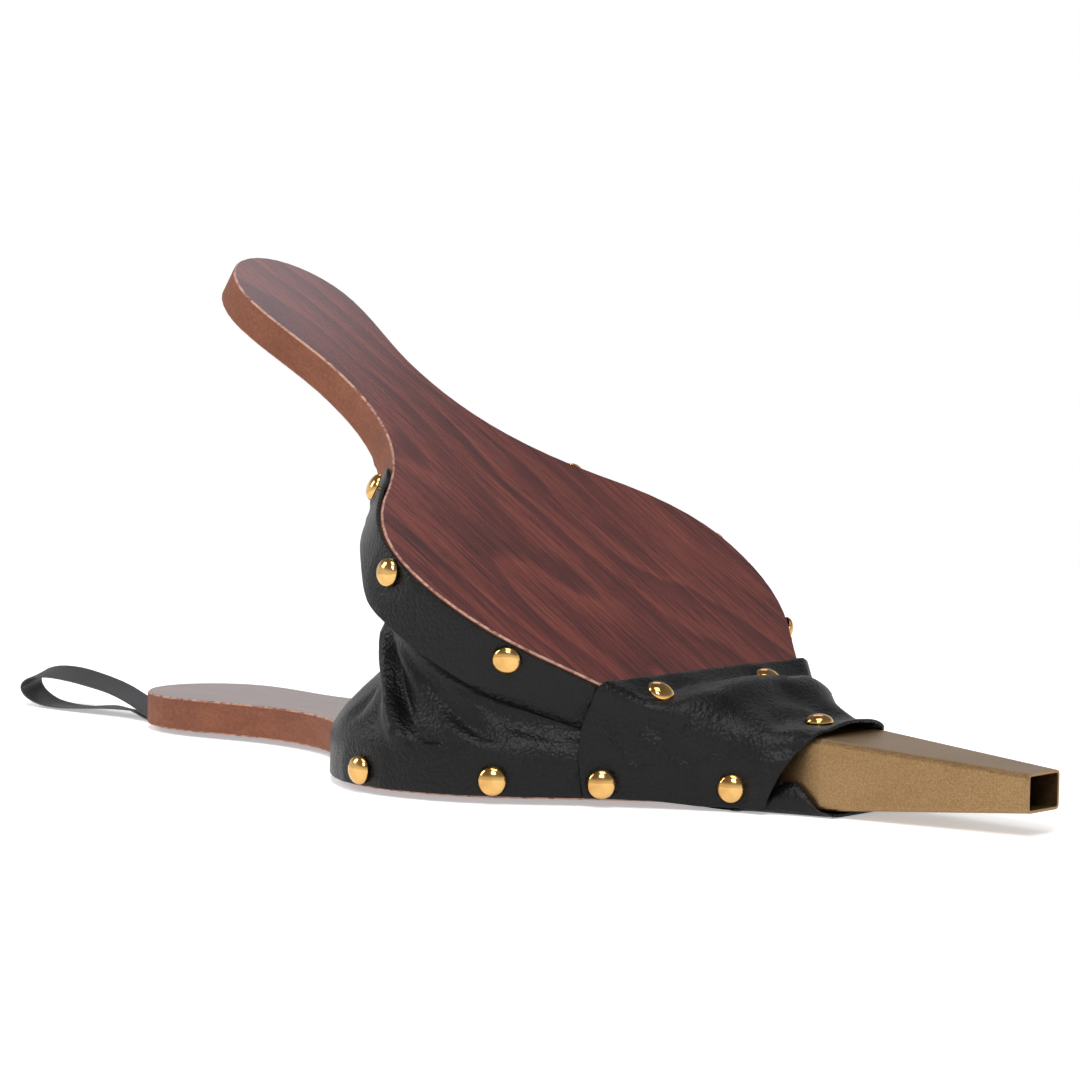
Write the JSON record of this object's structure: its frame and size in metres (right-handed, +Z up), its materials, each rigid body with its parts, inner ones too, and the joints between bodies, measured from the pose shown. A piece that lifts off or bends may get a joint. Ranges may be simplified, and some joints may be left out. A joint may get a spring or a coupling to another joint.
{
  "type": "hand bellows",
  "caption": "Hearth bellows: two hinged paddle boards, pleated leather gusset, brass dome nails, tapered metal nozzle, air valve and hanging strap.",
  "frame": {"origin": "on the ground under the nose leather, straight below the middle of the board hinge line", "axes": "+X towards the nozzle tip along the level lower board, +Z up, +Y to the left seen from the handles"},
  "size_m": [0.4697, 0.181, 0.1753],
  "materials": {
    "board": "dark red-brown wood-grain laminate on fibreboard, satin",
    "black_leather": "black pebbled artificial leather, soft sheen",
    "brass": "polished",
    "bronze_paint": "bronze metallic paint, fine grain",
    "steel": "plain",
    "strap": "dark grey, smooth",
    "valve_leather": "undyed, matt"
  },
  "bodies": {
    "lower": {"block_screw_left": "steel", "block_screw_right": "steel", "gusset": "black_leather", "lower_board": "board", "lower_nail_left_a": "brass", "lower_nail_left_b": "brass", "lower_nail_left_c": "brass", "lower_nail_left_d": "brass", "lower_nail_right_a": "brass", "lower_nail_right_b": "brass", "lower_nail_right_c": "brass", "lower_nail_right_d": "brass", "lower_neck_tack_left": "steel", "lower_neck_tack_right": "steel", "lower_spring_screw_front": "steel", "lower_spring_screw_rear": "steel", "nose_block": "board", "nose_nail": "brass", "nose_wrap": "black_leather", "nozzle": "bronze_paint", "nozzle_pin_left": "steel", "nozzle_pin_right": "steel", "return_spring": "steel", "strap_tab": "strap", "strap_tack": "steel", "under_wrap": "black_leather", "valve_tab": "valve_leather", "valve_tack_left": "steel", "valve_tack_right": "steel"},
    "upper": {"upper_board": "board", "upper_nail_left_a": "brass", "upper_nail_left_b": "brass", "upper_nail_left_c": "brass", "upper_nail_right_a": "brass", "upper_nail_right_b": "brass", "upper_nail_right_c": "brass", "upper_neck_tack_left": "steel", "upper_neck_tack_right": "steel", "upper_spring_screw_front": "steel", "upper_spring_screw_rear": "steel", "wrap_nail_left": "brass", "wrap_nail_right": "brass"},
    "valve": {"valve_flap": "valve_leather"},
    "strap": {"strap_loop": "strap"}
  },
  "joints": [
    {"name": "board_hinge", "type": "hinge", "parent": "lower", "child": "upper", "pos_m": [0, 0, 0.0258], "axis": [0, 1, 0], "range_deg": [-25, 4], "stiffness_Nm_per_rad": 1.2, "springref_deg": 12.61, "deforming": ["gusset", "nose_wrap", "return_spring"]},
    {"name": "valve_lift", "type": "hinge", "parent": "lower", "child": "valve", "pos_m": [-0.12, 0, 0.0159], "axis": [0, -1, 0], "range_deg": [0, 12]},
    {"name": "strap_swing", "type": "hinge", "parent": "lower", "child": "strap", "pos_m": [-0.2792, 0, 0.00075], "axis": [0, 1, 0], "range_deg": [-80, 60]}
  ]
}
